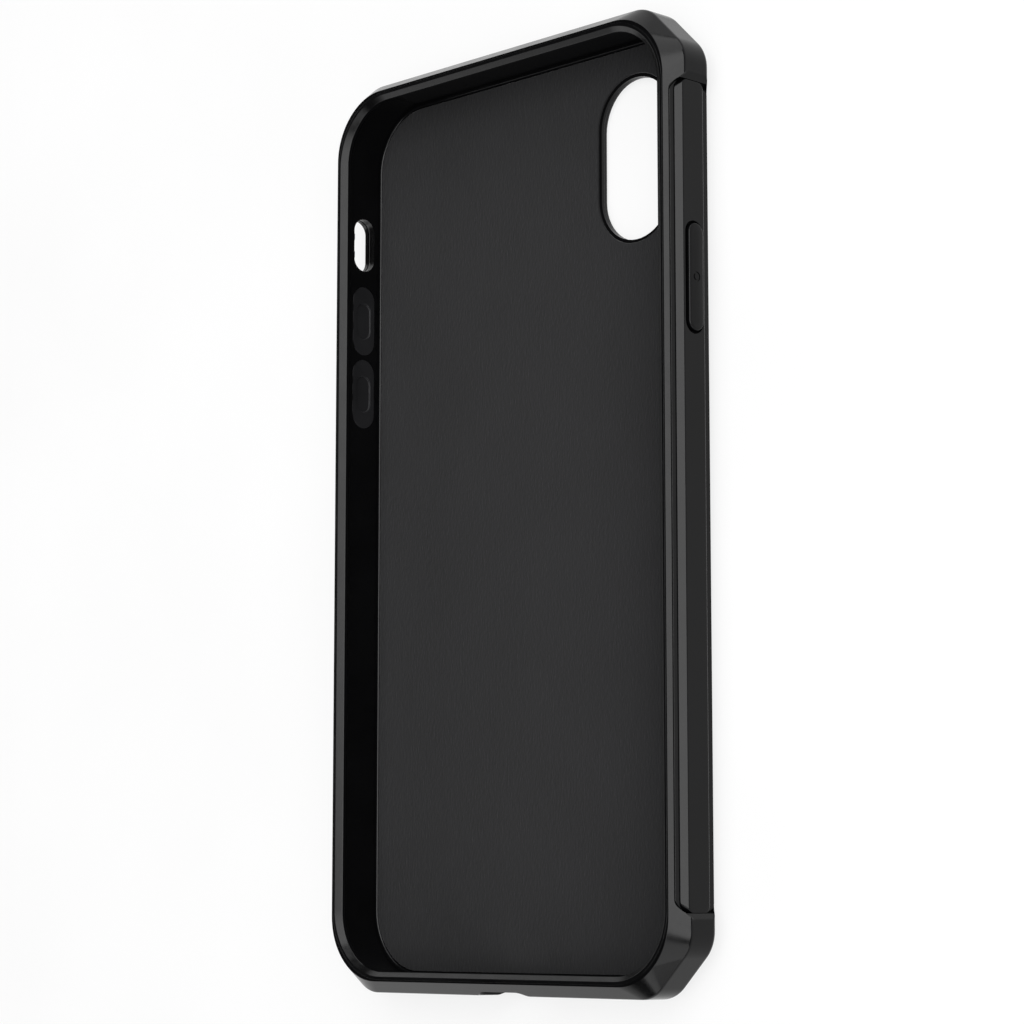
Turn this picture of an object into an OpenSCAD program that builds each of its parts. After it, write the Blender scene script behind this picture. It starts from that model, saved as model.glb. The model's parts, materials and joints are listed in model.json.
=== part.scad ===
// Rugged hybrid phone case, lying on its back with its open front up: +X to the right seen from
// the front, +Y along the length to the top end, +Z out of the open front. The origin is under
// the case's middle, in the plane of the rear rim.

/* [Phone that the case fits] */
// Width of the phone
phone_w = 75.7; // [75.2:0.1:76.2]
// Height of the phone
phone_h = 150.9; // [149.9:0.1:151.9]
// Thickness of the phone
phone_t = 8.3; // [8.1:0.1:8.6]
// Clearance round the phone
fit_gap = 0.15; // [0.1:0.05:0.2]

/* [Inner sleeve] */
// Thickness of the soft side wall
sleeve_wall = 0.75; // [0.7:0.05:0.8]
// Thickness of the soft floor
sleeve_floor = 0.5; // [0.4:0.1:0.6]
// How far the front lip stands above the phone's glass
lip_rise = 0.73; // [0.6:0.01:0.8]
// How far the lip reaches over the phone at the sides
lip_reach_side = 0.9; // [0.7:0.1:1]
// How far the lip reaches over the phone at the top and bottom
lip_reach_end = 0.6; // [0.5:0.1:0.8]
// Radius of the corners of the phone's space
cavity_r = 10.8; // [10.5:0.1:11.5]

/* [Outer frame] */
// Width over the corner blocks
case_w = 82.4; // [82.2:0.1:82.8]
// Height over the top and bottom faces
case_h = 157.1; // [156.9:0.1:157.5]
// Leg of the 45 degree cut on each corner
corner_cut = 8.1; // [7.8:0.1:8.4]
// Radius that blends each corner cut into the faces
corner_blend = 6; // [5:0.5:6.5]
// Depth of the front chamfer
front_chamfer = 2.93; // [2.7:0.01:3]
// Depth of the rear chamfer
rear_chamfer = 3.02; // [2.9:0.01:3.1]

/* [Side rails] */
// Length of each rail
rail_length = 130.66; // [130:0.1:131]
// Width of the rail where it meets the frame
rail_base_w = 6.66; // [6.4:0.1:6.8]
// Width of the rail's outer face
rail_face_w = 4.65; // [4.5:0.05:4.8]
// Distance from the case's middle to the floor of the rail pocket
pocket_x = 39.54; // [39.5:0.02:39.6]
// Distance from the case's middle to the rail's outer face
rail_x = 40.55; // [40.5:0.05:40.65]

/* [Buttons] */
// Centre of the power button above the case's middle
power_pos = 33.6; // [32:0.1:35]
// Length of the power button's cover
power_length = 17.2; // [16:0.1:18]
// Centre of the volume-up button above the case's middle
volume_up_pos = 37.95; // [37.7:0.05:38.5]
// Centre of the volume-down button above the case's middle
volume_down_pos = 24.95; // [24:0.05:25.2]
// Length of each volume button's cover
volume_length = 10.4; // [9.5:0.1:10.6]
// Width of every button cover
button_w = 3.2; // [3:0.1:3.3]
// How far a cover stands proud of the rail
button_proud = 0.5; // [0.3:0.05:0.6]
// Travel of a cover when it is pressed
button_travel = 0.4; // [0.3:0.05:0.4]

/* [Openings] */
// Width of the charging port opening
port_length = 12.8; // [12:0.1:14]
// Depth of the charging port opening, front to back
port_w = 5.8; // [5.4:0.1:6]
// Depth of the scoop that opens the port's rear side outwards
port_scoop = 1.2; // [0.8:0.1:1.4]
// Length of each loudspeaker slot
speaker_length = 15; // [12:0.5:16]
// Depth of each loudspeaker slot, front to back
speaker_w = 2.4; // [2:0.1:3]
// Centre of the ring switch opening above the case's middle
switch_pos = 51.6; // [51:0.1:53]
// Length of the ring switch opening
switch_length = 9.4; // [9:0.1:10]
// Length of the camera opening
camera_length = 27; // [26:0.5:28]
// Width of the camera opening
camera_w = 15.5; // [15:0.1:16]
// Width of the raised ring round the camera opening
bezel_w = 1.7; // [1.5:0.1:1.9]

/* [Hidden] */
$fn = 64;

// Small clearance between parts that are bonded or snapped together
bond = 0.02;
// How far a cutter runs past the surface that it opens
past = 1;

// Heights above the rear rim
rim_rise = 0.4;
plate_t = 0.85;
flange_t = 0.38;
lining_t = 0.28;
floor_h = rim_rise + plate_t + bond;
cavity_h = floor_h + sleeve_floor;
lining_top = cavity_h + bond + lining_t;
glass_h = lining_top + phone_t + bond;
case_t = glass_h + lip_rise;
flange_top = floor_h - bond;
flange_bottom = flange_top - flange_t;

// Half sizes of the nested outlines, and the corner centre that they share
cavity_x = phone_w / 2 + fit_gap;
cavity_y = phone_h / 2 + fit_gap;
corner_x = cavity_x - cavity_r;
corner_y = cavity_y - cavity_r;
sleeve_x = cavity_x + sleeve_wall;
sleeve_y = cavity_y + sleeve_wall;
case_x = case_w / 2;
case_y = case_h / 2;

// Front lip: its tip, the foot of its underside, and the inner edge of its crest
tip_x = cavity_x - lip_reach_side;
tip_y = cavity_y - lip_reach_end;
tip_t = 0.6;
tip_h = glass_h - tip_t;
undercut = lip_reach_side;
bevel_x = cavity_x + 0.32;
bevel_y = cavity_y + 0.22;

// Land of the frame beside the sleeve's crest, wider at the corners, and the rear rim
land_x = sleeve_x + 0.27;
land_y = sleeve_y + 0.27;
land_r = land_x - corner_x - 1;
window_inset = rear_chamfer + 1.6;

// Depth of the rail pocket's outline below the front crest and above the rear rim
pocket_edge = 0.72;
pocket_end = rail_length / 2 + 0.04;
pocket_flare = 0.95;
pocket_leg = 1.39;
pocket_blend = 1.5;
rail_h = case_t / 2 + 0.22;

// Buttons: cover, retaining flange and the slots that they move in
button_h = 5.7;
slot_gap = 0.4;
flange_over = 0.7;
flange_play = 0.2;
window_over = flange_over + flange_play;
cover_back = pocket_x - 0.04;
flange_back = cover_back - 0.4;
cover_edge = 0.35;
membrane_front = flange_back - button_travel - 0.04;
pad_w = 2.2;
key_recess = 0.28;

port_h = glass_h - phone_t / 2 - 0.02;
scoop_slope = 1.7;
speaker_x = 18.5;
switch_w = 4.6;
camera_x = 24.4;
camera_y = 56.5;
bezel_lip = 0.8;
bezel_chamfer = 0.35;

// Corner cushions: radii from the shared corner centre, and heights
cushion_inner = cavity_r + bond;
cushion_outer = cavity_r + 2;
cushion_low = 3;
cushion_high = 8.4;
cushion_angle = 50;

black = [0.05, 0.05, 0.055];
charcoal = [0.11, 0.11, 0.12];
graphite = [0.18, 0.18, 0.19];
felt = [0.24, 0.24, 0.26];

// Tangent length of a 45 degree blend of radius 1
blend_tan = tan(22.5);
arc_steps = 6;
round_cut = 0.1;

// Points of one corner, from the +X face round to the +Y face: two 45 degree arcs and the cut
// between them. leg is the cut's leg and r the blend radius.
function corner_points(hx, hy, leg, r) = concat(
    [for (i = [0:arc_steps])
        let (a = 45 * i / arc_steps)
        [hx - r + r * cos(a), hy - leg - r * blend_tan + r * sin(a)]],
    [for (i = [0:arc_steps])
        let (a = 45 + 45 * i / arc_steps)
        [hx - leg - r * blend_tan + r * cos(a), hy - r + r * sin(a)]]
);

function flip(points, sx, sy) = [for (p = points) [sx * p[0], sy * p[1]]];
function backwards(points) = [for (i = [len(points) - 1:-1:0]) points[i]];

// Whole outline, anticlockwise
function cut_outline(hx, hy, leg, r) =
    let (c = corner_points(hx, hy, leg, r))
    concat(c, backwards(flip(c, -1, 1)), flip(c, -1, -1), backwards(flip(c, 1, -1)));

// Outline of a rounded rectangle, with the same number of points: the cut is a short chord
function round_outline(hx, hy, r) = cut_outline(hx, hy, r * (1 - blend_tan) + round_cut, r);

// The case's outer outline moved inwards
function case_outline(inset) = cut_outline(
    case_x - inset, case_y - inset,
    corner_cut - inset * (2 - sqrt(2)), corner_blend - inset);

// Solid through a stack of outlines, each given as [height, points]
module loft(levels) {
    count = len(levels[0][1]);
    last = len(levels) - 1;
    points = [for (level = levels) for (p = level[1]) [p[0], p[1], level[0]]];
    sides = [for (k = [0:last - 1]) for (i = [0:count - 1])
        let (j = (i + 1) % count, low = k * count, high = low + count)
        each [[low + i, high + i, high + j], [low + i, high + j, low + j]]];
    bottom = [for (i = [0:count - 1]) i];
    top = [for (i = [count - 1:-1:0]) last * count + i];
    polyhedron(points = points, faces = concat([bottom, top], sides));
}

// Rounded rectangle with true arcs
module rounded(hx, hy, r) {
    square([2 * hx, 2 * (hy - r)], center = true);
    square([2 * (hx - r), 2 * hy], center = true);
    for (sx = [-1, 1], sy = [-1, 1])
        translate([sx * (hx - r), sy * (hy - r)]) circle(r);
}

// Rounded slab that shares its corner centres with the phone's space
module slab(hx, hy, low, high) {
    translate([0, 0, low])
        linear_extrude(high - low) rounded(hx, hy, hx - corner_x);
}

// Slot outline along X
module stadium(length, width) {
    square([length - width, width], center = true);
    for (end = [-1, 1]) translate([end * (length - width) / 2, 0]) circle(width / 2);
}

// Profile carried round a slot outline along X. The profile's first coordinate is the distance
// out from the slot's midline.
module slot_sweep(straight, profile) {
    for (end = [-1, 1])
        translate([end * straight / 2, 0, 0])
            rotate([0, 0, -90 * end])
                rotate_extrude(angle = 180) polygon(profile);
    for (side = [0, 1])
        mirror([0, side, 0])
            rotate([90, 0, 90])
                linear_extrude(height = straight, center = true) polygon(profile);
}

// Local X runs up the case, local Y from back to front, and local Z out of the side.
module on_side(side) {
    mirror([side < 0 ? 1 : 0, 0, 0]) rotate([90, 0, 90]) children();
}

// Local X runs across the case, local Y from back to front, and local Z out of the bottom.
module on_bottom() {
    rotate([90, 0, 0]) children();
}

// Long axis of the camera opening along the case
module at_camera() {
    translate([camera_x, camera_y, 0]) rotate([0, 0, 90]) children();
}

module side_hole(side, pos, length, width, low, high) {
    on_side(side) translate([pos, button_h, low])
        linear_extrude(high - low) stadium(length, width);
}

// Openings that go straight through the frame and the sleeve
module shared_openings() {
    side_hole(-1, switch_pos, switch_length, switch_w, cavity_x - 2 * past, case_x + past);
    on_bottom() translate([0, port_h, cavity_y - 2 * past])
        linear_extrude(case_y - cavity_y + 3 * past) stadium(port_length, port_w);
    for (sx = [-1, 1])
        on_bottom() translate([sx * speaker_x, port_h, cavity_y - 2 * past])
            linear_extrude(case_y - cavity_y + 3 * past) stadium(speaker_length, speaker_w);
}

// Scoop round the port in the frame. It widens towards the rear only, on its way out.
module port_rim() {
    reach = scoop_slope * (port_scoop + 0.1);
    hx = port_length / 2 - 0.1;
    hy = port_w / 2 - 0.1;
    r = hy - 0.1;
    wide = [for (p = round_outline(hx, hy + reach / 2, r)) [p[0], p[1] - reach / 2]];
    on_bottom() translate([0, port_h, 0])
        loft([[case_y - port_scoop, round_outline(hx, hy, r)], [case_y + 0.1, wide]]);
}

// Holes behind the rails for the buttons' flanges and membranes
module button_windows() {
    side_hole(1, power_pos, power_length + 2 * window_over, button_w + 2 * window_over,
        cavity_x - past, pocket_x + past);
    for (pos = [volume_up_pos, volume_down_pos])
        side_hole(-1, pos, volume_length + 2 * window_over, button_w + 2 * window_over,
            cavity_x - past, pocket_x + past);
}

// Arc of soft pad behind one corner block, grown for the pocket that holds it
module cushion_arc(grow) {
    turn = grow / cushion_inner * 180 / PI;
    translate([corner_x, corner_y, cushion_low - grow])
        rotate([0, 0, 45 - cushion_angle / 2 - turn])
            rotate_extrude(angle = cushion_angle + 2 * turn)
                translate([cushion_inner - grow, 0])
                    square([cushion_outer - cushion_inner + 2 * grow,
                            cushion_high - cushion_low + 2 * grow]);
}

module at_corner(sx, sy) {
    mirror([sx < 0 ? 1 : 0, 0, 0]) mirror([0, sy < 0 ? 1 : 0, 0]) children();
}

module cushion_pockets() {
    for (sx = [-1, 1], sy = [-1, 1]) at_corner(sx, sy) cushion_arc(bond);
}

// Space that a rail sits in, cut into the side of the frame
module rail_pocket() {
    half = (case_t - 2 * pocket_edge) / 2;
    flare_leg = pocket_leg + pocket_flare;
    inner = cut_outline(pocket_end, half, pocket_leg, pocket_blend);
    outer = cut_outline(pocket_end + pocket_flare, half, flare_leg, pocket_blend);
    translate([0, case_t / 2, 0])
        loft([[pocket_x, inner], [rail_x, inner], [case_x + 0.05, outer]]);
}

// Room for the phone, the underside and tip of the lip, and the bevel above the tip
module phone_space() {
    wall = round_outline(cavity_x, cavity_y, cavity_r);
    tip = round_outline(tip_x, tip_y, cavity_r - lip_reach_side);
    crest = round_outline(bevel_x, bevel_y, bevel_x - corner_x);
    loft([
        [cavity_h, wall], [tip_h - undercut, wall], [tip_h, tip], [glass_h, tip],
        [case_t, crest], [case_t + past, crest]
    ]);
}

module inner_sleeve() {
    color(charcoal) difference() {
        slab(sleeve_x, sleeve_y, floor_h, case_t);
        phone_space();
        at_camera() translate([0, 0, floor_h - past])
            linear_extrude(sleeve_floor + 2 * past)
                stadium(camera_length + 2 * bond, camera_w + 2 * bond);
        shared_openings();
        button_windows();
        cushion_pockets();
    }
}

module outer_frame() {
    color(black) difference() {
        loft([
            [0, case_outline(rear_chamfer)],
            [rear_chamfer, case_outline(0)],
            [case_t - front_chamfer, case_outline(0)],
            [case_t, round_outline(land_x, land_y, land_r)]
        ]);
        slab(sleeve_x + bond, sleeve_y + bond, flange_bottom - bond, case_t + past);
        slab(case_x - window_inset, case_y - window_inset, -past, floor_h);
        for (side = [-1, 1]) on_side(side) rail_pocket();
        port_rim();
        shared_openings();
        button_windows();
        cushion_pockets();
    }
}

// Chamfered strip, before its slots are cut
module rail_strip() {
    translate([0, rail_h, 0])
        loft([
            [pocket_x + bond, round_outline(rail_length / 2, rail_base_w / 2, 1.9)],
            [rail_x, round_outline(rail_length / 2, rail_face_w / 2, 0.9)]
        ]);
}

module side_rail_right() {
    color(black) difference() {
        on_side(1) rail_strip();
        side_hole(1, power_pos, power_length + 2 * slot_gap, button_w + 2 * slot_gap,
            cavity_x, case_x);
    }
}

module side_rail_left() {
    color(black) difference() {
        on_side(-1) rail_strip();
        for (pos = [volume_up_pos, volume_down_pos])
            side_hole(-1, pos, volume_length + 2 * slot_gap, button_w + 2 * slot_gap,
                cavity_x, case_x);
        side_hole(-1, switch_pos, switch_length, switch_w, cavity_x, case_x);
    }
}

module back_plate() {
    inset = window_inset + 2 * bond;
    color(graphite) difference() {
        union() {
            slab(case_x - inset, case_y - inset, rim_rise, flange_top);
            slab(sleeve_x - bond, sleeve_y - bond, flange_bottom, flange_top);
        }
        at_camera() translate([0, 0, -past])
            linear_extrude(case_t)
                stadium(camera_length + 2 * bezel_w + 2 * bond, camera_w + 2 * bezel_w + 2 * bond);
        at_camera() translate([0, 0, flange_bottom - bond])
            linear_extrude(case_t)
                stadium(camera_length + 2 * (bezel_w + bezel_lip + bond),
                        camera_w + 2 * (bezel_w + bezel_lip + bond));
    }
}

module camera_bezel() {
    inner = camera_w / 2;
    outer = inner + bezel_w;
    color(black) at_camera()
        slot_sweep(camera_length - camera_w, [
            [inner + bezel_chamfer, 0],
            [outer - bezel_chamfer, 0],
            [outer, bezel_chamfer],
            [outer, flange_bottom],
            [outer + bezel_lip, flange_bottom],
            [outer + bezel_lip, flange_top],
            [inner, flange_top],
            [inner, bezel_chamfer]
        ]);
}

module back_lining() {
    margin = 0.6;
    color(felt) difference() {
        slab(cavity_x - margin, cavity_y - margin, cavity_h + bond, lining_top);
        at_camera() translate([0, 0, cavity_h - past])
            linear_extrude(lining_t + 2 * past)
                stadium(camera_length + 2 * margin, camera_w + 2 * margin);
    }
}

// Cover with a bevelled outer edge, and the flange behind the rail that keeps it in
module button_cover(side, pos, length) {
    half = button_w / 2;
    face = rail_x + button_proud;
    on_side(side) translate([pos, button_h, 0])
        slot_sweep(length - button_w, [
            [0, flange_back],
            [half + flange_over, flange_back],
            [half + flange_over, cover_back],
            [half, cover_back],
            [half, face - cover_edge],
            [half - cover_edge, face],
            [0, face]
        ]);
}

module power_button() {
    color(graphite) button_cover(1, power_pos, power_length);
}

module volume_up_button() {
    color(graphite) button_cover(-1, volume_up_pos, volume_length);
}

module volume_down_button() {
    color(graphite) button_cover(-1, volume_down_pos, volume_length);
}

// Soft web in the sleeve's window, with a raised pad under the cover and a recess for the
// phone's own key
module button_membrane(side, pos, length) {
    web_over = window_over - bond;
    pad_length = length - 4;
    on_side(side) translate([pos, button_h, 0]) difference() {
        union() {
            translate([0, 0, cavity_x + bond])
                linear_extrude(membrane_front - cavity_x - bond)
                    stadium(length + 2 * web_over, button_w + 2 * web_over);
            translate([0, 0, cavity_x + key_recess + bond])
                linear_extrude(flange_back - cavity_x - key_recess - 2 * bond)
                    stadium(pad_length, pad_w);
        }
        translate([0, 0, cavity_x - past])
            linear_extrude(past + key_recess) stadium(pad_length, pad_w + 1);
    }
}

module power_button_membrane() {
    color(charcoal) button_membrane(1, power_pos, power_length);
}

module volume_up_membrane() {
    color(charcoal) button_membrane(-1, volume_up_pos, volume_length);
}

module volume_down_membrane() {
    color(charcoal) button_membrane(-1, volume_down_pos, volume_length);
}

module corner_cushion(sx, sy) {
    color(graphite) at_corner(sx, sy) cushion_arc(0);
}

inner_sleeve();
outer_frame();
side_rail_right();
side_rail_left();
back_plate();
camera_bezel();
back_lining();
power_button();
volume_up_button();
volume_down_button();
power_button_membrane();
volume_up_membrane();
volume_down_membrane();
corner_cushion(1, 1);  // corner_cushion_top_right
corner_cushion(-1, 1);  // corner_cushion_top_left
corner_cushion(1, -1);  // corner_cushion_bottom_right
corner_cushion(-1, -1);  // corner_cushion_bottom_left
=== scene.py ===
"""Looks of a rugged two-layer phone case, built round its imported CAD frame.

The case lies on its back: +X to the right seen from the open front, +Y to its top end and +Z out
of the open front. Shapes are worked out in millimetres and turned into metres as meshes are made.
"""
import json
import math

import bmesh
import bpy
import numpy as np
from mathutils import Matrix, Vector


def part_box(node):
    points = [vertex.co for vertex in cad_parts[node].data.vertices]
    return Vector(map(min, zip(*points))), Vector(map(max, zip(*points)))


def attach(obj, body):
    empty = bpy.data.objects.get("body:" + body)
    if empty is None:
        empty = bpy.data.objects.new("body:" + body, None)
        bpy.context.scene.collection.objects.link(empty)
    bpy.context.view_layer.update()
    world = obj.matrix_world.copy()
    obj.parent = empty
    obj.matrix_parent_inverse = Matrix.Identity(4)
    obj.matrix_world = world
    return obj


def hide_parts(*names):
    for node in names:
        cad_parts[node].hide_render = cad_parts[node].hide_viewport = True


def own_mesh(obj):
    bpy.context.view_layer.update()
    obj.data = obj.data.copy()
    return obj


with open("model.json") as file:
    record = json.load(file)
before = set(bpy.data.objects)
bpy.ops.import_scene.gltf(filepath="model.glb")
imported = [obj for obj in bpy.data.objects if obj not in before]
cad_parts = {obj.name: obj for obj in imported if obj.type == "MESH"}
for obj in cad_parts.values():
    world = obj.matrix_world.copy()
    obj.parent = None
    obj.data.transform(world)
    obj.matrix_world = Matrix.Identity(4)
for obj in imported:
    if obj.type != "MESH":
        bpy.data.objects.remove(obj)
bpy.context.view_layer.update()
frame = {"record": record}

MM = 0.001
RECORD = frame["record"]
SLOT = {part["node"]: part["material_slot"] for part in RECORD["subparts"]}
BODY = {node: body for body, nodes in RECORD["behaviour"]["bodies"].items() for node in nodes}


def span(node):
    """Lowest and highest corner of a CAD node, in millimetres."""
    low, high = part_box(node)
    return np.array(low) / MM, np.array(high) / MM


# ---------------------------------------------------------------- sizes that the frame gives

CASE_X, CASE_Y, CASE_T = span("outer_frame")[1]
SLEEVE_X, SLEEVE_Y = span("inner_sleeve")[1][:2]
FLOOR_H = span("inner_sleeve")[0][2]
LINING_LOW, LINING_HIGH = span("back_lining")
PLATE_LOW, PLATE_HIGH = span("back_plate")
BEZEL_LOW, BEZEL_HIGH = span("camera_bezel")
RAIL_LOW, RAIL_HIGH = span("side_rail_right")
CUSHION_LOW, CUSHION_HIGH = (corner[2] for corner in span("corner_cushion_top_right"))
CAMERA_X, CAMERA_Y = ((BEZEL_LOW + BEZEL_HIGH) / 2)[:2]

# ---------------------------------------------------------------- details of the CAD shapes

GAP = 0.02
SLEEVE_WALL = 0.75
SLEEVE_FLOOR = 0.5
CAVITY_X = SLEEVE_X - SLEEVE_WALL
CAVITY_Y = SLEEVE_Y - SLEEVE_WALL
CAVITY_R = 10.8
CORNER_X = CAVITY_X - CAVITY_R
CORNER_Y = CAVITY_Y - CAVITY_R
CAVITY_H = FLOOR_H + SLEEVE_FLOOR

LIP_RISE = 0.73
LIP_TIP = 0.6
LIP_REACH = (0.9, 0.6)
LIP_FOOT = 0.9
LIP_CREST = (0.32, 0.22)

LAND = 0.27
LAND_TIGHTER = 1.0
FRONT_CHAMFER = 2.93
REAR_CHAMFER = 3.02
CORNER_CUT = 8.1
CORNER_BLEND = 6.0
RIM_W = 1.6
FLANGE_T = 0.38

RAIL_FOOT_R = 1.9
RAIL_FACE_W = 4.65
RAIL_FACE_R = 0.9
POCKET_X = RAIL_LOW[0] - GAP
POCKET_END = RAIL_HIGH[1] + 0.04
POCKET_EDGE = 0.72
POCKET_LEG = 1.39
POCKET_BLEND = 1.5
POCKET_FLARE = 0.95

BUTTON_W = 3.2
BUTTON_FLANGE = 0.7
BUTTON_FLANGE_T = 0.4
BUTTON_GAP = 0.4
WINDOW_OVER = 0.9
MEMBRANE_WEB = 0.64
KEY_RECESS = 0.28
PAD_W = 2.2
PAD_SHORTER = 4.0

PORT = (12.8, 5.8)
SPEAKER = (15.0, 2.4)
SPEAKER_X = 18.5
PORT_H = 6.22
PORT_SCOOP = 1.2
SCOOP_SLOPE = 1.7
SWITCH = (9.4, 4.6)
SWITCH_Y = 51.6
CAMERA_HOLE = (27.0, 15.5)
BEZEL_LIP = 0.8
BEZEL_W = 1.7
BUTTON_H = (span("power_button")[0][2] + span("power_button")[1][2]) / 2

# ---------------------------------------------------------------- how finely shapes are made

# Steps in each 45 degree arc of an outline, in each half turn of a slot, across a fillet, and
# in the quarter round of a flared hole, which stops before it gets too flat
ARC_STEPS = 10
SLOT_STEPS = 24
FILLET_STEPS = 5
FLARE_STEPS = 4
FLARE_TURN = math.radians(75)

# Tangent length of a 45 degree arc for each unit of its radius
BLEND = math.tan(math.radians(22.5))
# Straight cut left in the middle of a round corner, so that no two of its points coincide
ROUND_CUT = 0.05
# Most of a band's width that a fillet may take up at each of its ends
FILLET_SHARE = 0.47
# How far cutters reach past the surfaces that they cut
PAST = 1.0
SMOOTH_ANGLE = math.radians(38)


# ---------------------------------------------------------------- outlines and rings

def corner_points(half_x, half_y, leg, radius):
    """One corner from the +X face to the +Y face: two 45 degree arcs and the cut between them."""
    turn = np.radians(np.linspace(0, 45, ARC_STEPS + 1))
    blend = radius * BLEND
    first = np.stack([half_x - radius + radius * np.cos(turn),
                      half_y - leg - blend + radius * np.sin(turn)], axis=1)
    turn = turn + math.pi / 4
    second = np.stack([half_x - leg - blend + radius * np.cos(turn),
                       half_y - radius + radius * np.sin(turn)], axis=1)
    return np.concatenate([first, second])


def cut_outline(half_x, half_y, leg, radius):
    """Rectangle with 45 degree cuts on its corners, anticlockwise."""
    points = corner_points(half_x, half_y, leg, radius)
    return np.concatenate([points, (points * (-1, 1))[::-1], -points, (points * (1, -1))[::-1]])


def round_outline(half_x, half_y, radius):
    """Rounded rectangle with as many points as a cut outline."""
    return cut_outline(half_x, half_y, radius * (1 - BLEND) + ROUND_CUT, radius)


def nested_outline(half_x, half_y):
    """Rounded rectangle that shares its corner centres with the phone's space."""
    return round_outline(half_x, half_y, half_x - CORNER_X)


def case_outline(inset):
    """The case's own outline, moved inwards."""
    return cut_outline(CASE_X - inset, CASE_Y - inset,
                       CORNER_CUT - inset * (2 - math.sqrt(2)), CORNER_BLEND - inset)


def slot_outline(length, width):
    """Slot with round ends, along the first axis."""
    turn = np.radians(np.linspace(-90, 90, SLOT_STEPS + 1))
    radius = width / 2
    end = np.stack([length / 2 - radius + radius * np.cos(turn), radius * np.sin(turn)], axis=1)
    return np.concatenate([end, -end])


def ring(outline, height, centre=(0, 0)):
    """Outline moved to a centre and a height."""
    moved = outline + np.array(centre)
    return np.column_stack([moved, np.full(len(moved), float(height))])


def soften(rings, trims):
    """Rounds a stack of rings where a trim is above 0, and says which bands are round."""
    result, rounded = [], []
    for index, (here, trim) in enumerate(zip(rings, trims)):
        if trim == 0:
            result.append(here)
            rounded.append(False)
            continue
        ends = []
        for other in (rings[index - 1], rings[(index + 1) % len(rings)]):
            reach = other - here
            length = np.linalg.norm(reach, axis=1, keepdims=True)
            share = np.minimum(trim / np.maximum(length, 1e-9), FILLET_SHARE)
            ends.append(here + reach * share)
        for t in np.linspace(0, 1, FILLET_STEPS + 1):
            result.append((1 - t) ** 2 * ends[0] + 2 * t * (1 - t) * here + t * t * ends[1])
            rounded.append(t < 1)
    return result, rounded


# ---------------------------------------------------------------- where a local ring stands

def on_side(sign):
    """Local axes along the case, from back to front, and out of a side."""
    return lambda points: np.stack([sign * points[:, 2], points[:, 0], points[:, 1]], axis=1)


def on_bottom(points):
    """Local axes across the case, from back to front, and out of the bottom."""
    return np.stack([points[:, 0], -points[:, 2], points[:, 1]], axis=1)


def at_camera(points):
    """Local axes along and across the case round the camera opening, and up."""
    return np.stack([CAMERA_X + points[:, 1], CAMERA_Y + points[:, 0], points[:, 2]], axis=1)


def as_drawn(points):
    """The case's own axes."""
    return points


# ---------------------------------------------------------------- meshes

def mesh_object(name, points, faces, edge_flags):
    """Closed mesh with a face attribute, edge, that is 1 on its rounded edges."""
    mesh = bpy.data.meshes.new(name)
    mesh.from_pydata((np.asarray(points) * MM).tolist(), [], faces)
    mesh.attributes.new("edge", "FLOAT", "FACE").data.foreach_set("value", edge_flags)
    work = bmesh.new()
    work.from_mesh(mesh)
    bmesh.ops.recalc_face_normals(work, faces=work.faces)
    work.to_mesh(mesh)
    work.free()
    obj = bpy.data.objects.new(name, mesh)
    bpy.context.scene.collection.objects.link(obj)
    return obj


def skin(name, rings, trims, place=as_drawn, closed=False):
    """Solid through a stack of rings. A closed stack comes back to its first ring."""
    rings, rounded = soften(rings, trims)
    count, size = len(rings), len(rings[0])
    points = np.concatenate([place(points) for points in rings])
    faces, flags = [], []
    for k in range(count if closed else count - 1):
        low, high = k * size, (k + 1) % count * size
        for i in range(size):
            j = (i + 1) % size
            faces.append((low + i, low + j, high + j, high + i))
            flags.append(float(rounded[k]))
    if not closed:
        faces.append(tuple(range(size))[::-1])
        faces.append(tuple(range((count - 1) * size, count * size)))
        flags += [0.0, 0.0]
    return mesh_object(name, points, faces, flags)


def slot_cutter(length, width, levels, centre, place):
    """Slot-shaped cutter. Each level is a height and how much the slot grows there."""
    rings = [ring(slot_outline(length + 2 * grow, width + 2 * grow), height, centre)
             for height, grow in levels]
    return skin("cutter", rings, [0] * len(rings), place)


def flare(low, surface, radius):
    """Levels of a hole that widens in a quarter round at the surface it comes out of."""
    levels = [(low, 0.0)]
    levels += [(surface - radius + radius * math.sin(a), radius * (1 - math.cos(a)))
               for a in np.linspace(0, FLARE_TURN, FLARE_STEPS + 1)]
    height, grow = levels[-1]
    return levels + [(height + PAST, grow + PAST * math.tan(FLARE_TURN) / 2)]


def carve(obj, cutters):
    """Takes the cutters out of an object and applies the result."""
    for cutter in cutters:
        modifier = obj.modifiers.new("carve", "BOOLEAN")
        modifier.object = cutter
        modifier.solver = "EXACT"
    bpy.context.view_layer.update()
    graph = bpy.context.evaluated_depsgraph_get()
    carved = bpy.data.meshes.new_from_object(obj.evaluated_get(graph))
    obj.modifiers.clear()
    obj.data = carved
    for cutter in cutters:
        bpy.data.objects.remove(cutter)
    return obj


def finish_piece(obj, node):
    """Shading, material, and where the piece belongs in the frame."""
    mesh = obj.data
    mesh.polygons.foreach_set("use_smooth", [True] * len(mesh.polygons))
    mesh.set_sharp_from_angle(angle=SMOOTH_ANGLE)
    weighted = obj.modifiers.new("weighted", "WEIGHTED_NORMAL")
    weighted.keep_sharp = True
    mesh.materials.clear()
    mesh.materials.append(MATERIALS[SLOT[node]])
    obj.name = node + "_shape"
    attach(obj, BODY[node])
    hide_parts(node)
    return obj


# ---------------------------------------------------------------- materials

def material(name):
    """New node material, its Principled shader, and its object coordinates."""
    made = bpy.data.materials.new(name)
    made.use_nodes = True
    tree = made.node_tree
    shader = next(node for node in tree.nodes if node.type == "BSDF_PRINCIPLED")
    place = tree.nodes.new("ShaderNodeTexCoord").outputs["Object"]
    return made, tree, shader, place


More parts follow.
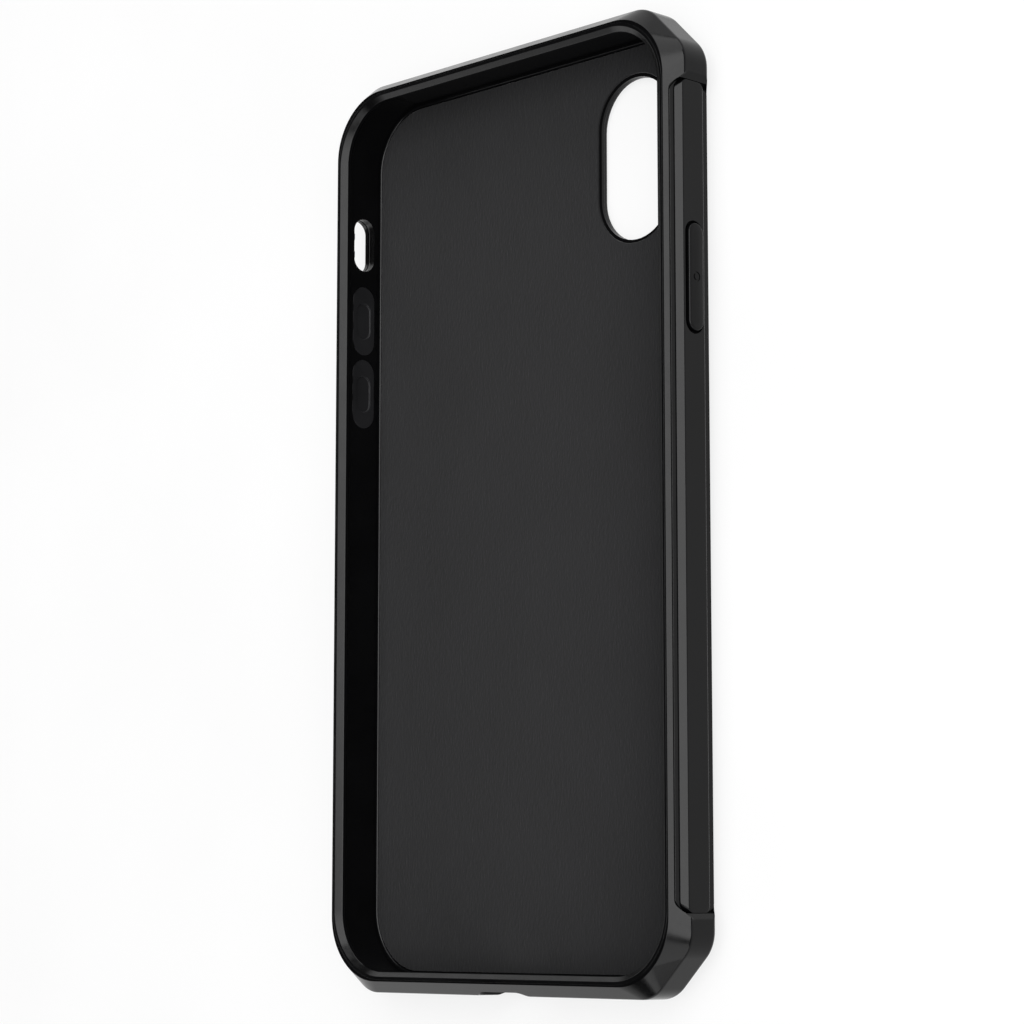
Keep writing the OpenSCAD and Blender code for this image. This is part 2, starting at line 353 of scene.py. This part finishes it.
def noise(tree, place, size_mm, detail=2.0):
    """Noise whose blotches are about size_mm across."""
    node = tree.nodes.new("ShaderNodeTexNoise")
    node.inputs["Scale"].default_value = 1 / (size_mm * MM)
    node.inputs["Detail"].default_value = detail
    tree.links.new(place, node.inputs["Vector"])
    return node.outputs["Fac"]


def cells(tree, place, size_mm):
    """Distance to the nearest cell centre, for leather-like and pebbled grains."""
    node = tree.nodes.new("ShaderNodeTexVoronoi")
    node.feature = "SMOOTH_F1"
    node.inputs["Scale"].default_value = 1 / (size_mm * MM)
    node.inputs["Smoothness"].default_value = 0.6
    tree.links.new(place, node.inputs["Vector"])
    return node.outputs["Distance"]


def spread(tree, value, low, high, start=0.3, end=0.7):
    """Value from start to end carried over to low to high."""
    node = tree.nodes.new("ShaderNodeMapRange")
    for key, number in (("From Min", start), ("From Max", end), ("To Min", low), ("To Max", high)):
        node.inputs[key].default_value = number
    tree.links.new(value, node.inputs["Value"])
    return node.outputs["Result"]


def combine(tree, operation, first, second):
    """Math node on two values or sockets."""
    node = tree.nodes.new("ShaderNodeMath")
    node.operation = operation
    for socket, value in zip(node.inputs, (first, second)):
        if isinstance(value, (int, float)):
            socket.default_value = value
        else:
            tree.links.new(value, socket)
    return node.outputs[0]


def mix_colour(tree, factor, first, second):
    """Colour from first to second."""
    node = tree.nodes.new("ShaderNodeMix")
    node.data_type = "RGBA"
    tree.links.new(factor, node.inputs["Factor"])
    for key, colour in (("A", first), ("B", second)):
        socket = next(s for s in node.inputs if s.name == key and s.type == "RGBA")
        if isinstance(colour, (tuple, list)):
            socket.default_value = (*colour, 1)
        else:
            tree.links.new(colour, socket)
    return next(s for s in node.outputs if s.type == "RGBA")


def bump(tree, height, depth_mm, strength, under=None):
    """Bump of a real depth, on top of another one."""
    node = tree.nodes.new("ShaderNodeBump")
    node.inputs["Strength"].default_value = strength
    node.inputs["Distance"].default_value = depth_mm * MM
    tree.links.new(height, node.inputs["Height"])
    if under:
        tree.links.new(under, node.inputs["Normal"])
    return node.outputs["Normal"]


def worn_edges(tree, place, size_mm):
    """Patchy mask on the rounded edges."""
    node = tree.nodes.new("ShaderNodeAttribute")
    node.attribute_name = "edge"
    patches = spread(tree, noise(tree, place, size_mm, 4), 0.25, 1)
    return combine(tree, "MULTIPLY", node.outputs["Fac"], patches)


def scaled(colour, factor):
    return tuple(channel * factor for channel in colour)


def moulded(name, base, rough, specular, grain_mm, grain_depth, pebbled=False):
    """Moulded plastic or rubber: fine grain, uneven gloss, faint mottling and polished edges."""
    made, tree, shader, place = material(name)
    edge = worn_edges(tree, place, 2.5)
    mottling = spread(tree, noise(tree, place, 9, 5), 0, 1)
    body = mix_colour(tree, mottling, scaled(base, 0.8), scaled(base, 1.25))
    polished = mix_colour(tree, edge, body, scaled(base, 2.2))
    tree.links.new(polished, shader.inputs["Base Color"])
    wide = spread(tree, noise(tree, place, 5, 6), rough - 0.035, rough + 0.035)
    narrow = spread(tree, noise(tree, place, 0.7, 3), -0.02, 0.02)
    gloss = combine(tree, "ADD", wide, narrow)
    gloss = combine(tree, "SUBTRACT", gloss, combine(tree, "MULTIPLY", edge, 0.05))
    tree.links.new(gloss, shader.inputs["Roughness"])
    fine = noise(tree, place, grain_mm, 3)
    height = cells(tree, place, grain_mm * 1.6) if pebbled else fine
    normal = bump(tree, height, grain_depth, 0.6)
    normal = bump(tree, noise(tree, place, 14, 2), 0.02, 0.25, normal)
    tree.links.new(normal, shader.inputs["Normal"])
    shader.inputs["Specular IOR Level"].default_value = specular
    shader.inputs["IOR"].default_value = 1.5
    return made


def napped(name, base):
    """Microfibre: short brushed fibres, soft mottling and a faint sheen."""
    made, tree, shader, place = material(name)
    stretch = tree.nodes.new("ShaderNodeMapping")
    stretch.inputs["Scale"].default_value = (1.0, 0.35, 1.0)
    stretch.inputs["Rotation"].default_value = (0, 0, math.radians(8))
    tree.links.new(place, stretch.inputs["Vector"])
    fibre = noise(tree, stretch.outputs["Vector"], 0.32, 6)
    patch = noise(tree, place, 16, 4)
    tone = combine(tree, "ADD", spread(tree, fibre, 0, 0.75), spread(tree, patch, 0, 0.25))
    colour = mix_colour(tree, tone, scaled(base, 0.55), scaled(base, 1.5))
    tree.links.new(colour, shader.inputs["Base Color"])
    tree.links.new(spread(tree, fibre, 0.85, 1.0), shader.inputs["Roughness"])
    normal = bump(tree, fibre, 0.10, 0.9)
    normal = bump(tree, patch, 0.05, 0.3, normal)
    tree.links.new(normal, shader.inputs["Normal"])
    shader.inputs["Specular IOR Level"].default_value = 0.15
    shader.inputs["Sheen Weight"].default_value = 0.12
    shader.inputs["Sheen Roughness"].default_value = 0.45
    return made


# Base colour, roughness, specular level, and the grain's size and depth in millimetres
BLACK = (0.0008, 0.0008, 0.0009)
MOULDED = {
    "hard_frame": (BLACK, 0.19, 0.165, 0.16, 0.0025),
    "rail": (BLACK, 0.19, 0.165, 0.16, 0.0025),
    "bezel": ((0.0028, 0.0028, 0.0031), 0.22, 0.2, 0.14, 0.002),
    "back_panel": ((0.0042, 0.0042, 0.0046), 0.42, 0.18, 0.3, 0.012, True),
    "button_cover": (BLACK, 0.24, 0.135, 0.14, 0.002),
    "soft_sleeve": ((0.0010, 0.0010, 0.0011), 0.21, 0.165, 0.2, 0.0035),
    "soft_membrane": ((0.0045, 0.0045, 0.0049), 0.45, 0.17, 0.22, 0.006),
    "soft_cushion": ((0.0052, 0.0052, 0.0057), 0.48, 0.17, 0.24, 0.007),
}
MATERIALS = {slot: moulded(slot, *look) for slot, look in MOULDED.items()}
MATERIALS["microfibre"] = napped("microfibre", (0.0032, 0.0032, 0.0036))


# ---------------------------------------------------------------- openings shared by the shells

def through_openings(outside, rim):
    """Ring switch, port and loudspeaker openings, widened where they come out at `outside`."""
    levels = flare(CAVITY_X - 2.5 * PAST, outside[0], rim)
    cutters = [slot_cutter(*SWITCH, levels, (SWITCH_Y, BUTTON_H), on_side(-1))]
    levels = flare(CAVITY_Y - 2.5 * PAST, outside[1], rim)
    for size, across in ((PORT, 0), (SPEAKER, SPEAKER_X), (SPEAKER, -SPEAKER_X)):
        cutters.append(slot_cutter(*size, levels, (across, PORT_H), on_bottom))
    return cutters


def port_scoop():
    """Cut that opens the port's rear side outwards, through the rear chamfer."""
    spare = 0.1
    half_x, half_y = PORT[0] / 2 - spare, PORT[1] / 2 - spare
    reach = SCOOP_SLOPE * (PORT_SCOOP + spare)
    narrow = round_outline(half_x, half_y, half_y - spare)
    wide = round_outline(half_x, half_y + reach / 2, half_y - spare) - (0, reach / 2)
    centre = (0, PORT_H)
    rings = [ring(narrow, CASE_Y - PORT_SCOOP, centre), ring(wide, CASE_Y + spare, centre)]
    return skin("cutter", rings, [0, 0], on_bottom)


def buttons():
    """Name, side, place along the case and length of each button."""
    for node in ("power_button", "volume_up_button", "volume_down_button"):
        low, high = span(node)
        sign = 1 if low[0] > 0 else -1
        yield node, sign, (low[1] + high[1]) / 2, high[1] - low[1] - 2 * BUTTON_FLANGE


def button_windows():
    """Holes behind the rails for the buttons' flanges and membranes."""
    levels = [(CAVITY_X - PAST, 0), (POCKET_X + PAST, 0)]
    return [slot_cutter(length + 2 * WINDOW_OVER, BUTTON_W + 2 * WINDOW_OVER, levels,
                        (along, BUTTON_H), on_side(sign))
            for _, sign, along, length in buttons()]


CUSHION_R = (CAVITY_R + GAP, CAVITY_R + 2.0)
CUSHION_ANGLE = 50
CUSHION_EDGE = 0.25
CUSHION_ROUND_TURN = 1.2
GROOVE_DEPTH = 0.3
GROOVE_PITCH = 10.0
CUSHION_STEPS = 91
POCKET_STEPS = 13


def cushion_rings(grow, grooves):
    """Sections of a corner cushion, one for each step round its arc."""
    inner, outer = CUSHION_R[0] - grow, CUSHION_R[1] + grow
    low, high = CUSHION_LOW - grow, CUSHION_HIGH + grow
    turn = math.degrees(grow / CUSHION_R[0])
    edge = CUSHION_EDGE if grooves else 0.0
    steps = CUSHION_STEPS if grooves else POCKET_STEPS
    rings = []
    for angle in np.linspace(-CUSHION_ANGLE / 2 - turn, CUSHION_ANGLE / 2 + turn, steps):
        wave = 0.5 - 0.5 * math.cos(2 * math.pi * angle / GROOVE_PITCH)
        depth = GROOVE_DEPTH * wave ** 2 if grooves else 0.0
        to_end = min((CUSHION_ANGLE / 2 - abs(angle)) / CUSHION_ROUND_TURN, 1)
        inset = edge * (1 - math.sqrt(max(0.0, 1 - (1 - to_end) ** 2)))
        face, bottom, top = inner + depth + inset, low + inset, high - inset
        section = [(face, bottom + edge), (face + edge, bottom), (outer - inset, bottom),
                   (outer - inset, top), (face + edge, top), (face, top - edge)]
        a = math.radians(45 + angle)
        rings.append(np.array([(CORNER_X + r * math.cos(a), CORNER_Y + r * math.sin(a), h)
                               for r, h in section]))
    return rings


def at_corner(sign_x, sign_y):
    """Mirrors the top right corner into another one."""
    return lambda points: points * (sign_x, sign_y, 1)


CORNERS = {"top_right": (1, 1), "top_left": (-1, 1),
           "bottom_right": (1, -1), "bottom_left": (-1, -1)}


def cushion_pockets():
    """Cutters for the spaces that the cushions sit in."""
    rings = cushion_rings(GAP, False)
    return [skin("cutter", rings, [0] * len(rings), at_corner(*signs))
            for signs in CORNERS.values()]


# ---------------------------------------------------------------- the two shells

RIB_PITCH = 3.2
RIB_W = 0.9
RIB_RISE = 0.11
RIB_SLOPE = 0.22
RIB_END = 55.0


def rib_places():
    """Stations along the side walls where the ribs' feet and tops are."""
    count = int(RIB_END * 2 / RIB_PITCH)
    centres = (np.arange(count) - (count - 1) / 2) * RIB_PITCH
    offsets = (-RIB_W / 2 - RIB_SLOPE, -RIB_W / 2, RIB_W / 2, RIB_W / 2 + RIB_SLOPE)
    return np.array([centre + offset for centre in centres for offset in offsets])


def ribbed(outline, rise=0.0):
    """Outline with rib stations on both long sides, moved inwards by rise on the ribs' tops."""
    quarter = len(outline) // 4
    places = rib_places()
    lift = np.where(np.isin(np.arange(len(places)) % 4, (1, 2)), rise, 0.0)
    half_x = outline[:, 0].max()
    right = np.stack([half_x - lift, places], axis=1)
    left = np.stack([-half_x + lift, places], axis=1)[::-1]
    return np.concatenate([right, outline[:2 * quarter], left, outline[2 * quarter:]])


def make_sleeve():
    """Soft tub: floor, ribbed wall, and the lip that holds the phone in."""
    tip = nested_outline(CAVITY_X - LIP_REACH[0], CAVITY_Y - LIP_REACH[1])
    crest = nested_outline(CAVITY_X + LIP_CREST[0], CAVITY_Y + LIP_CREST[1])
    wall = nested_outline(CAVITY_X, CAVITY_Y)
    outside = nested_outline(SLEEVE_X, SLEEVE_Y)
    glass_h = CASE_T - LIP_RISE
    foot_h = glass_h - LIP_TIP - LIP_FOOT
    # Outline, rise of the ribs, height, and fillet
    levels = [
        (nested_outline(SLEEVE_X - 1, SLEEVE_Y - 1), 0, FLOOR_H, 0),
        (outside, 0, FLOOR_H, 0.2),
        (outside, 0, CASE_T, 0.05),
        (crest, 0, CASE_T, 0.05),
        (tip, 0, glass_h, 0.12),
        (tip, 0, glass_h - LIP_TIP, 0.2),
        (wall, 0, foot_h, 0.3),
        (wall, 0, foot_h - 0.5, 0),
        (wall, RIB_RISE, foot_h - 0.8, 0),
        (wall, RIB_RISE, CAVITY_H + 1.3, 0),
        (wall, 0, CAVITY_H + 1.0, 0),
        (wall, 0, CAVITY_H, 0.35),
        (nested_outline(CAVITY_X - 2, CAVITY_Y - 2), 0, CAVITY_H, 0),
    ]
    rings = [ring(ribbed(outline, rise), height) for outline, rise, height, _ in levels]
    sleeve = skin("inner_sleeve", rings, [level[3] for level in levels])
    hole = [(FLOOR_H - PAST, 0), (CAVITY_H + PAST, 0)]
    size = (CAMERA_HOLE[0] + 2 * GAP, CAMERA_HOLE[1] + 2 * GAP)
    cutters = [slot_cutter(*size, hole, (0, 0), at_camera)]
    cutters += through_openings((CASE_X + PAST, CASE_Y + PAST), 0.1)
    cutters += button_windows() + cushion_pockets()
    return finish_piece(carve(sleeve, cutters), "inner_sleeve")


def rail_pocket(sign):
    """Space for a side rail: a shadow groove round its floor, and ends that flare outwards."""
    middle = CASE_T / 2
    half = middle - POCKET_EDGE
    groove_w, groove_depth = 0.28, 0.16

    def at(height, grow, inset=0.0):
        outline = cut_outline(POCKET_END + grow - inset, half - inset,
                              POCKET_LEG + grow, POCKET_BLEND - inset)
        return ring(outline, height, (0, middle))

    surface = CASE_X
    rings = [
        at(POCKET_X, 0, groove_w + 0.08), at(POCKET_X - groove_depth, 0, groove_w),
        at(POCKET_X - groove_depth, 0, 0.06), at(POCKET_X, 0), at(RAIL_HIGH[0], 0),
        at(surface - 0.13, POCKET_FLARE * 0.8), at(surface - 0.04, POCKET_FLARE * 0.97),
        at(surface, POCKET_FLARE * 1.2), at(surface + 0.02, POCKET_FLARE * 1.5),
    ]
    return skin("cutter", rings, [0] * len(rings), on_side(sign))


def make_frame():
    """Hard ring round the sleeve: chamfered front and rear edges, cut corners and rail pockets."""
    inner = nested_outline(SLEEVE_X + GAP, SLEEVE_Y + GAP)
    land = round_outline(SLEEVE_X + LAND, SLEEVE_Y + LAND,
                         SLEEVE_X + LAND - CORNER_X - LAND_TIGHTER)
    window = nested_outline(CASE_X - REAR_CHAMFER - RIM_W, CASE_Y - REAR_CHAMFER - RIM_W)
    ledge_h = PLATE_HIGH[2] - FLANGE_T - GAP
    # Outline, height and fillet
    levels = [
        (window, 0, 0.15),
        (window, ledge_h, 0.08),
        (inner, ledge_h, 0),
        (inner, CASE_T, 0.04),
        (land, CASE_T, 0.05),
        (case_outline(0), CASE_T - FRONT_CHAMFER, 0.3),
        (case_outline(0), REAR_CHAMFER, 0.45),
        (case_outline(REAR_CHAMFER), 0, 0.3),
    ]
    rings = [ring(outline, height) for outline, height, _ in levels]
    shell = skin("outer_frame", rings, [level[2] for level in levels], closed=True)
    carve(shell, [rail_pocket(1), rail_pocket(-1), port_scoop()])
    cutters = through_openings((POCKET_X, CASE_Y), 0.35) + button_windows() + cushion_pockets()
    return finish_piece(carve(shell, cutters), "outer_frame")


# ---------------------------------------------------------------- rails and buttons

def make_rail(sign, node):
    """Chamfered strip with rounded ends, and a slot for each button on its side."""
    middle = (RAIL_LOW[2] + RAIL_HIGH[2]) / 2
    base_w, face_x = RAIL_HIGH[2] - RAIL_LOW[2], RAIL_HIGH[0]
    half = RAIL_HIGH[1]
    foot = 0.12
    base = round_outline(half, base_w / 2, RAIL_FOOT_R)
    face = round_outline(half, RAIL_FACE_W / 2, RAIL_FACE_R)
    centre = (0, middle)
    inside_face = face - np.sign(face) * 0.6
    rings = [ring(base, RAIL_LOW[0], centre), ring(base, RAIL_LOW[0] + foot, centre),
             ring(face, face_x, centre), ring(inside_face, face_x, centre)]
    rail = skin(node, rings, [0, 0.08, 0.2, 0], on_side(sign))
    cutters = []
    for _, side, along, length in buttons():
        if side == sign:
            size = (length + 2 * BUTTON_GAP, BUTTON_W + 2 * BUTTON_GAP)
            levels = flare(CAVITY_X, face_x, 0.14)
            cutters.append(slot_cutter(*size, levels, (along, BUTTON_H), on_side(sign)))
    if sign < 0:
        levels = flare(CAVITY_X, face_x, 0.3)
        cutters.append(slot_cutter(*SWITCH, levels, (SWITCH_Y, BUTTON_H), on_side(sign)))
    return finish_piece(carve(rail, cutters), node)


def slot_rings(straight, profile, centre):
    """Rings round a slot's midline. Each profile point is a distance out and a height."""
    return [ring(slot_outline(straight + 2 * out, 2 * out), height, centre)
            for out, height in profile]


MARK_W = 0.3
MARK_LENGTH = 1.5
MARK_DEPTH = 0.12


def bar_cutter(centre, upright, surface, place):
    """Shallow engraved stroke with round ends."""
    outline = slot_outline(MARK_LENGTH, MARK_W)
    if upright:
        outline = outline[:, ::-1]
    rings = [ring(outline * 0.96, surface - MARK_DEPTH, centre),
             ring(outline, surface + PAST, centre)]
    return skin("cutter", rings, [0, 0], place)


def ring_cutter(centre, surface, place):
    """Shallow engraved ring."""
    circle = slot_outline(1.0, 0.999999)
    wide, narrow, low, high = 1.55, 1.0, surface - MARK_DEPTH, surface + PAST
    rings = [ring(circle * size, height, centre)
             for size, height in ((wide, low), (wide, high), (narrow, high), (narrow, low))]
    return skin("cutter", rings, [0] * 4, place, closed=True)


def make_button(node, sign, along, length):
    """Cover with a rounded, slightly crowned face and an engraved mark, on its retaining flange."""
    half = BUTTON_W / 2
    low, high = span(node)
    back, face = sorted((abs(low[0]), abs(high[0])))
    centre = (along, BUTTON_H)
    flange, step = half + BUTTON_FLANGE, back + BUTTON_FLANGE_T
    profile = [(half, back), (flange, back), (flange, step), (half, step),
               (half, face - 0.08), (half - 0.75, face - 0.02), (0.25, face)]
    rings = slot_rings(length - BUTTON_W, profile, centre)
    cover = skin(node, rings, [0, 0.06, 0.06, 0, 0.2, 0.3, 0], on_side(sign))
    marks = []
    if node == "power_button":
        marks.append(ring_cutter(centre, face, on_side(sign)))
    else:
        marks.append(bar_cutter(centre, False, face, on_side(sign)))
    if node == "volume_up_button":
        marks.append(bar_cutter(centre, True, face, on_side(sign)))
    return finish_piece(carve(cover, marks), node)


MEMBRANE = {"power_button": "power_button_membrane",
            "volume_up_button": "volume_up_membrane",
            "volume_down_button": "volume_down_membrane"}


def make_membrane(button, sign, along, length):
    """Soft web with a raised pad outside and a recess for the phone's own key inside."""
    node = MEMBRANE[button]
    low, high = span(node)
    inner, pad = sorted((abs(low[0]), abs(high[0])))
    over = WINDOW_OVER - GAP
    web = (length + 2 * over, BUTTON_W + 2 * over)
    pad_length = length - PAD_SHORTER
    recess = inner - GAP + KEY_RECESS
    # Length, width, height and fillet
    shapes = [
        (pad_length - 0.6, PAD_W + 0.4, recess, 0),
        (pad_length, PAD_W + 1, recess, 0.12),
        (pad_length, PAD_W + 1, inner, 0.1),
        (*web, inner, 0.1),
        (*web, inner + MEMBRANE_WEB, 0.12),
        (pad_length, PAD_W, inner + MEMBRANE_WEB, 0.1),
        (pad_length, PAD_W, pad, 0.1),
        (pad_length - 0.8, PAD_W - 0.8, pad, 0),
    ]
    rings = [ring(slot_outline(size, width), height, (along, BUTTON_H))
             for size, width, height, _ in shapes]
    membrane = skin(node, rings, [shape[3] for shape in shapes], on_side(sign))
    finish_piece(membrane, node)
    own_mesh(membrane)


# ---------------------------------------------------------------- rear shell, bezel and lining

def make_back_plate():
    """Rear panel with a shadow groove near its edge, on the flange that the frame holds."""
    bottom, top = PLATE_LOW[2], PLATE_HIGH[2]
    rim = REAR_CHAMFER + RIM_W + 2 * GAP
    flange_h = top - FLANGE_T
    groove_h = bottom + 0.16

    def at(inset, height):
        return ring(nested_outline(CASE_X - rim - inset, CASE_Y - rim - inset), height)

    flange = nested_outline(PLATE_HIGH[0], PLATE_HIGH[1])
    # Ring and fillet
    levels = [
        (at(3.0, bottom), 0),
        (at(1.55, bottom), 0.06),
        (at(1.5, groove_h), 0.06),
        (at(1.15, groove_h), 0.06),
        (at(1.1, bottom), 0.06),
        (at(0, bottom), 0.18),
        (at(0, flange_h), 0),
        (ring(flange, flange_h), 0.08),
        (ring(flange, top), 0.08),
        (at(2, top), 0),
    ]
    plate = skin("back_plate", [level[0] for level in levels], [level[1] for level in levels])
    wide = (CAMERA_HOLE[0] + 2 * (BEZEL_W + GAP), CAMERA_HOLE[1] + 2 * (BEZEL_W + GAP))
    seat = (wide[0] + 2 * BEZEL_LIP, wide[1] + 2 * BEZEL_LIP)
    hole = [(-PAST, 0.5), (bottom, 0.12), (bottom + 0.12, 0), (top + PAST, 0)]
    cutters = [slot_cutter(*wide, hole, (0, 0), at_camera),
               slot_cutter(*seat, [(flange_h - GAP, 0), (top + 2 * PAST, 0)], (0, 0), at_camera)]
    return finish_piece(carve(plate, cutters), "back_plate")


def make_bezel():
    """Raised ring round the camera opening, with a step inside it."""
    inner, top = CAMERA_HOLE[1] / 2, BEZEL_HIGH[2]
    outer = inner + BEZEL_W
    flange_h = top - FLANGE_T
    profile = [(inner + 0.5, 0), (outer, 0), (outer, flange_h), (outer + BEZEL_LIP, flange_h),
               (outer + BEZEL_LIP, top), (inner, top), (inner, 0.62), (inner + 0.22, 0.55)]
    trims = [0.15, 0.35, 0, 0.05, 0.05, 0.08, 0.04, 0.1]
    rings = slot_rings(CAMERA_HOLE[0] - CAMERA_HOLE[1], profile, (0, 0))
    bezel = skin("camera_bezel", rings, trims, at_camera, closed=True)
    return finish_piece(bezel, "camera_bezel")


LINING_MARGIN = 0.6


def make_lining():
    """Microfibre sheet glued to the sleeve's floor, with soft cut edges."""
    half = LINING_HIGH[:2]
    low, high = LINING_LOW[2], LINING_HIGH[2]

    def at(inset, height):
        return ring(nested_outline(half[0] - inset, half[1] - inset), height)

    rings = [at(1.5, low), at(0, low), at(0, high), at(1.5, high)]
    lining = skin("back_lining", rings, [0, 0.1, 0.14, 0])
    hole = (CAMERA_HOLE[0] + 2 * LINING_MARGIN, CAMERA_HOLE[1] + 2 * LINING_MARGIN)
    levels = [(low - PAST, 0), (high - 0.1, 0), (high, 0.07), (high + PAST, 0.2)]
    carve(lining, [slot_cutter(*hole, levels, (0, 0), at_camera)])
    finish_piece(lining, "back_lining")


def make_cushion(corner, signs):
    """Grooved soft pad behind one corner block."""
    node = "corner_cushion_" + corner
    rings = cushion_rings(0, True)
    cushion = finish_piece(skin(node, rings, [0] * len(rings), at_corner(*signs)), node)


make_sleeve()
make_frame()
make_rail(1, "side_rail_right")
make_rail(-1, "side_rail_left")
for button in buttons():
    make_button(*button)
    make_membrane(*button)
make_back_plate()
make_bezel()
make_lining()
for corner, signs in CORNERS.items():
    make_cushion(corner, signs)


# ---------------------------------------------------------------- floor, lights and camera

def make_floor():
    """Pale matt table, just under the rear rim."""
    half, drop = 4.0, 0.0001
    corners = [(-half, -half, -drop), (half, -half, -drop), (half, half, -drop), (-half, half, -drop)]
    mesh = bpy.data.meshes.new("floor")
    mesh.from_pydata(corners, [], [(0, 1, 2, 3)])
    floor = bpy.data.objects.new("floor", mesh)
    bpy.context.scene.collection.objects.link(floor)
    made, tree, shader, place = material("pale_table")
    tone = spread(tree, noise(tree, place, 60, 4), 0, 1)
    colour = mix_colour(tree, tone, (0.085,) * 3, (0.095,) * 3)
    tree.links.new(colour, shader.inputs["Base Color"])
    shader.inputs["Roughness"].default_value = 0.9
    shader.inputs["Specular IOR Level"].default_value = 0.1
    shader.inputs["Emission Color"].default_value = (1, 1, 1, 1)
    shader.inputs["Emission Strength"].default_value = 0.77
    mesh.materials.append(made)


def softbox(name, place, target, size, radiance):
    """Rectangular light of a given brightness, turned towards a point."""
    light = bpy.data.lights.new(name, "AREA")
    light.shape = "RECTANGLE"
    light.size, light.size_y = size
    light.energy = radiance * math.pi * size[0] * size[1]
    lamp = bpy.data.objects.new(name, light)
    bpy.context.scene.collection.objects.link(lamp)
    lamp.location = place
    direction = Vector(place) - Vector(target)
    lamp.rotation_euler = direction.to_track_quat("Z", "Y").to_euler()
    lamp.visible_camera = False


def make_world():
    """Dim studio room."""
    world = bpy.data.worlds.new("studio")
    world.use_nodes = True
    background = next(node for node in world.node_tree.nodes if node.type == "BACKGROUND")
    background.inputs["Color"].default_value = (1, 1, 1, 1)
    background.inputs["Strength"].default_value = 0.03
    bpy.context.scene.world = world


def make_camera():
    """Front right view from a little below the middle, as if the case stood upright."""
    swing, tilt = math.radians(45.815), math.radians(7.777)
    camera = bpy.data.objects.new("camera", bpy.data.cameras.new("camera"))
    camera.data.sensor_width = 36
    camera.data.lens = 103.31
    camera.data.clip_start = 0.01
    camera.location = (0.344608, -0.065342, 0.341182)
    camera.rotation_euler = (tilt, swing, 0)
    bpy.context.scene.collection.objects.link(camera)
    bpy.context.scene.camera = camera


make_floor()
make_world()
softbox("key", (0.60, 0.12, 0.72), (0, 0, 0), (1.25, 1.15), 6.2)
softbox("top_end", (0.20, 0.95, 0.33), (0, 0, 0), (1.10, 0.60), 3.3)
softbox("bottom_end", (0.36, -0.86, 0.40), (0, 0, 0), (1.00, 0.75), 3.0)
softbox("overhead", (-0.08, 0.0, 1.0), (0, 0, 0), (2.2, 0.36), 2.8)
softbox("low_left", (-1.0, 0.0, 0.27), (0, 0, 0.05), (2.6, 0.50), 1.6)
softbox("low_corner", (-0.74, -0.70, 0.33), (0, 0, 0), (0.8, 0.42), 0.8)
make_camera()
bpy.context.scene.view_settings.view_transform = "Standard"
